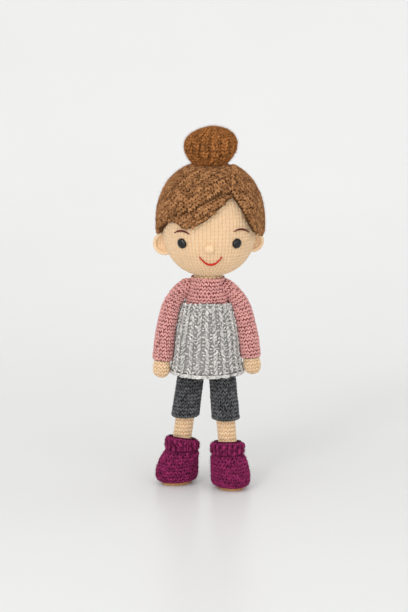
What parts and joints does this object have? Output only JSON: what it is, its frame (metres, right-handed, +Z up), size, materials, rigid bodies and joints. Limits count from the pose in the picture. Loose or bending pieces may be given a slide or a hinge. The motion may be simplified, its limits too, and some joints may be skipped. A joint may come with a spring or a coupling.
{
  "type": "amigurumi doll",
  "caption": "Standing crocheted doll with a top bun, side-swept fringe, cabled skirt over short trousers and ribbed boots; head and arms move.",
  "frame": {"origin": "on the floor under the centre of the doll's bounding box", "axes": "+Z up through the head, the doll faces -Y, its own left side at +X"},
  "size_m": [0.0739, 0.0666, 0.2409],
  "materials": {
    "skin_yarn": "matte",
    "hair_yarn": "matte",
    "bun_yarn": "matte",
    "rose_yarn": "matte",
    "grey_yarn": "matte",
    "charcoal_yarn": "matte",
    "plum_yarn": "matte",
    "tan_sole": "matte",
    "black_eye": "gloss",
    "washer_plastic": "satin",
    "brow_thread": "matte",
    "mouth_thread": "matte",
    "stuffing": "matte",
    "core_wood": "matte",
    "insole_board": "matte",
    "joint_thread": "matte"
  },
  "bodies": {
    "torso": {"bodice": "rose_yarn", "torso_stuffing": "stuffing", "skirt": "grey_yarn", "skirt_hem": "grey_yarn", "trouser_seat": "charcoal_yarn", "left_trouser_leg": "charcoal_yarn", "left_leg_cover": "skin_yarn", "left_leg_stuffing": "stuffing", "left_foot": "skin_yarn", "left_insole": "insole_board", "left_boot": "plum_yarn", "left_boot_cuff": "plum_yarn", "left_sole": "tan_sole", "right_trouser_leg": "charcoal_yarn", "right_leg_cover": "skin_yarn", "right_leg_stuffing": "stuffing", "right_foot": "skin_yarn", "right_insole": "insole_board", "right_boot": "plum_yarn", "right_boot_cuff": "plum_yarn", "right_sole": "tan_sole"},
    "neck": {"neck_cover": "skin_yarn", "neck_core": "core_wood"},
    "head": {"head_cover": "skin_yarn", "head_stuffing": "stuffing", "nose": "skin_yarn", "mouth": "mouth_thread", "hair_cap": "hair_yarn", "hair_fringe": "hair_yarn", "hair_side_panel": "hair_yarn", "hair_bun": "bun_yarn", "bun_stuffing": "stuffing", "left_eye": "black_eye", "left_eye_washer": "washer_plastic", "left_eyebrow": "brow_thread", "left_ear": "skin_yarn", "right_eye": "black_eye", "right_eye_washer": "washer_plastic", "right_eyebrow": "brow_thread", "right_ear": "skin_yarn"},
    "left_shoulder": {"left_arm_thread": "joint_thread"},
    "left_arm": {"left_sleeve": "rose_yarn", "left_hand": "skin_yarn", "left_arm_stuffing": "stuffing"},
    "right_shoulder": {"right_arm_thread": "joint_thread"},
    "right_arm": {"right_sleeve": "rose_yarn", "right_hand": "skin_yarn", "right_arm_stuffing": "stuffing"}
  },
  "joints": [
    {"name": "head_turn", "type": "hinge", "parent": "torso", "child": "neck", "pos_m": [-0.00005, 0, 0.1405], "axis": [0, 0, 1], "range_deg": [-30, 30], "stiffness_Nm_per_rad": 0.05},
    {"name": "head_nod", "type": "hinge", "parent": "neck", "child": "head", "pos_m": [-0.00005, 0, 0.1413], "axis": [1, 0, 0], "range_deg": [-8, 10], "stiffness_Nm_per_rad": 0.2},
    {"name": "left_arm_swing", "type": "hinge", "parent": "torso", "child": "left_shoulder", "pos_m": [0.0137, 0, 0.1333], "axis": [-1, 0, 0], "range_deg": [-40, 90]},
    {"name": "left_arm_lift", "type": "hinge", "parent": "left_shoulder", "child": "left_arm", "pos_m": [0.0137, 0, 0.1333], "axis": [0, -1, 0], "range_deg": [0, 70]},
    {"name": "right_arm_swing", "type": "hinge", "parent": "torso", "child": "right_shoulder", "pos_m": [-0.0153, 0, 0.1333], "axis": [-1, 0, 0], "range_deg": [-40, 90]},
    {"name": "right_arm_lift", "type": "hinge", "parent": "right_shoulder", "child": "right_arm", "pos_m": [-0.0153, 0, 0.1333], "axis": [0, 1, 0], "range_deg": [0, 70]}
  ]
}
